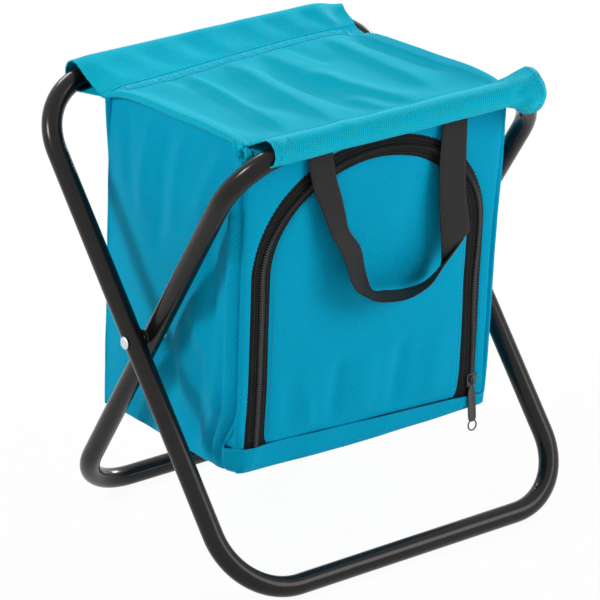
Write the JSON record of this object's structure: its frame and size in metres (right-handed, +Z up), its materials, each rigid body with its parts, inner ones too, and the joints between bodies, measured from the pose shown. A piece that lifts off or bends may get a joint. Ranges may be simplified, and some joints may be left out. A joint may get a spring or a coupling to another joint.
{
  "type": "folding cooler stool",
  "caption": "Folding stool on two crossing tube loops with a slung fabric seat and an insulated bag below it that opens at the front by an arched zip door.",
  "frame": {"origin": "on the floor under the middle of the stool, level with the underside of both bottom bars", "axes": "+Z up, +X along the bars to the stool's right as seen from the front, -Y towards the zip door at the front"},
  "size_m": [0.3342, 0.2732, 0.3602],
  "materials": {
    "paint": "glossy dark brown-black powder coat",
    "zinc": "bright zinc plated rivets",
    "nylon": "black nylon washers and zip coil",
    "cloth": "bright blue woven polyester, matt",
    "foil": "foil-faced closed-cell foam sheet",
    "tape": "black woven zip tape",
    "slider": "black lacquered zinc slider and pull",
    "webbing": "black ribbed polypropylene webbing"
  },
  "bodies": {
    "pivots": {"left_pivot_rivet": "zinc", "right_pivot_rivet": "zinc", "left_pivot_washer": "nylon", "right_pivot_washer": "nylon"},
    "outer_frame": {"outer_frame_tube": "paint", "rear_sleeve": "cloth"},
    "inner_frame": {"inner_frame_tube": "paint", "front_sleeve": "cloth"},
    "bag": {"seat_panel": "cloth", "left_seat_hem": "cloth", "right_seat_hem": "cloth", "left_wall": "cloth", "right_wall": "cloth", "left_insulation": "foil", "right_insulation": "foil", "floor_panel": "cloth", "floor_insulation": "foil", "lid_insulation": "foil"},
    "bag_front": {"front_wall": "cloth", "front_band": "cloth", "front_insulation": "foil", "front_left_piping": "cloth", "front_right_piping": "cloth", "zip_tape_outer": "tape", "zip_coil_outer": "nylon"},
    "bag_back": {"back_wall": "cloth", "back_insulation": "foil", "back_left_piping": "cloth", "back_right_piping": "cloth"},
    "door": {"door_flap": "cloth", "door_insulation": "foil", "zip_tape_inner": "tape", "zip_coil_inner": "nylon"},
    "slider": {"zip_slider": "slider"},
    "pull": {"zip_pull": "slider"},
    "front_grip": {"front_handle": "webbing"},
    "back_grip": {"back_handle": "webbing"}
  },
  "joints": [
    {"name": "fold", "type": "hinge", "parent": "pivots", "child": "outer_frame", "pos_m": [0, 0, 0.17811], "axis": [1, 0, 0], "range_deg": [0, 29], "deforming": ["seat_panel", "left_seat_hem", "right_seat_hem", "left_wall", "right_wall", "left_insulation", "right_insulation", "floor_panel", "floor_insulation", "lid_insulation"]},
    {"name": "fold_inner", "type": "hinge", "parent": "pivots", "child": "inner_frame", "pos_m": [0, 0, 0.17811], "axis": [1, 0, 0], "range_deg": [-29, 0]},
    {"name": "bag_rise", "type": "slide", "parent": "pivots", "child": "bag", "axis": [0, 0, 1], "range_m": [0, 0.03]},
    {"name": "front_close", "type": "slide", "parent": "bag", "child": "bag_front", "axis": [0, 1, 0], "range_m": [0, 0.092]},
    {"name": "back_close", "type": "slide", "parent": "bag", "child": "bag_back", "axis": [0, -1, 0], "range_m": [0, 0.076]},
    {"name": "door_hinge", "type": "hinge", "parent": "bag_front", "child": "door", "pos_m": [0, -0.07753, 0.09908], "axis": [1, 0, 0], "range_deg": [0, 100], "deforming": ["front_handle"]},
    {"name": "zip_slide", "type": "slide", "parent": "bag_front", "child": "slider", "axis": [0, -0.1063, 0.9943], "range_m": [0, 0.13]},
    {"name": "pull_hinge", "type": "hinge", "parent": "slider", "child": "pull", "pos_m": [0.099, -0.08183, 0.10405], "axis": [-1, 0, 0], "range_deg": [0, 120]},
    {"name": "front_grip_swing", "type": "hinge", "parent": "bag_front", "child": "front_grip", "pos_m": [0, -0.10678, 0.34185], "axis": [-1, 0, 0], "range_deg": [0, 50]},
    {"name": "back_grip_swing", "type": "hinge", "parent": "bag_back", "child": "back_grip", "pos_m": [0, 0.10678, 0.34185], "axis": [1, 0, 0], "range_deg": [0, 50]}
  ],
  "couplings": [
    {"joint": "fold_inner", "follows": "fold", "ratio": -1},
    {"joint": "bag_rise", "follows": "fold", "m_per_rad": 0.059266},
    {"joint": "front_close", "follows": "fold", "m_per_rad": 0.18175},
    {"joint": "back_close", "follows": "fold", "m_per_rad": 0.15014}
  ]
}
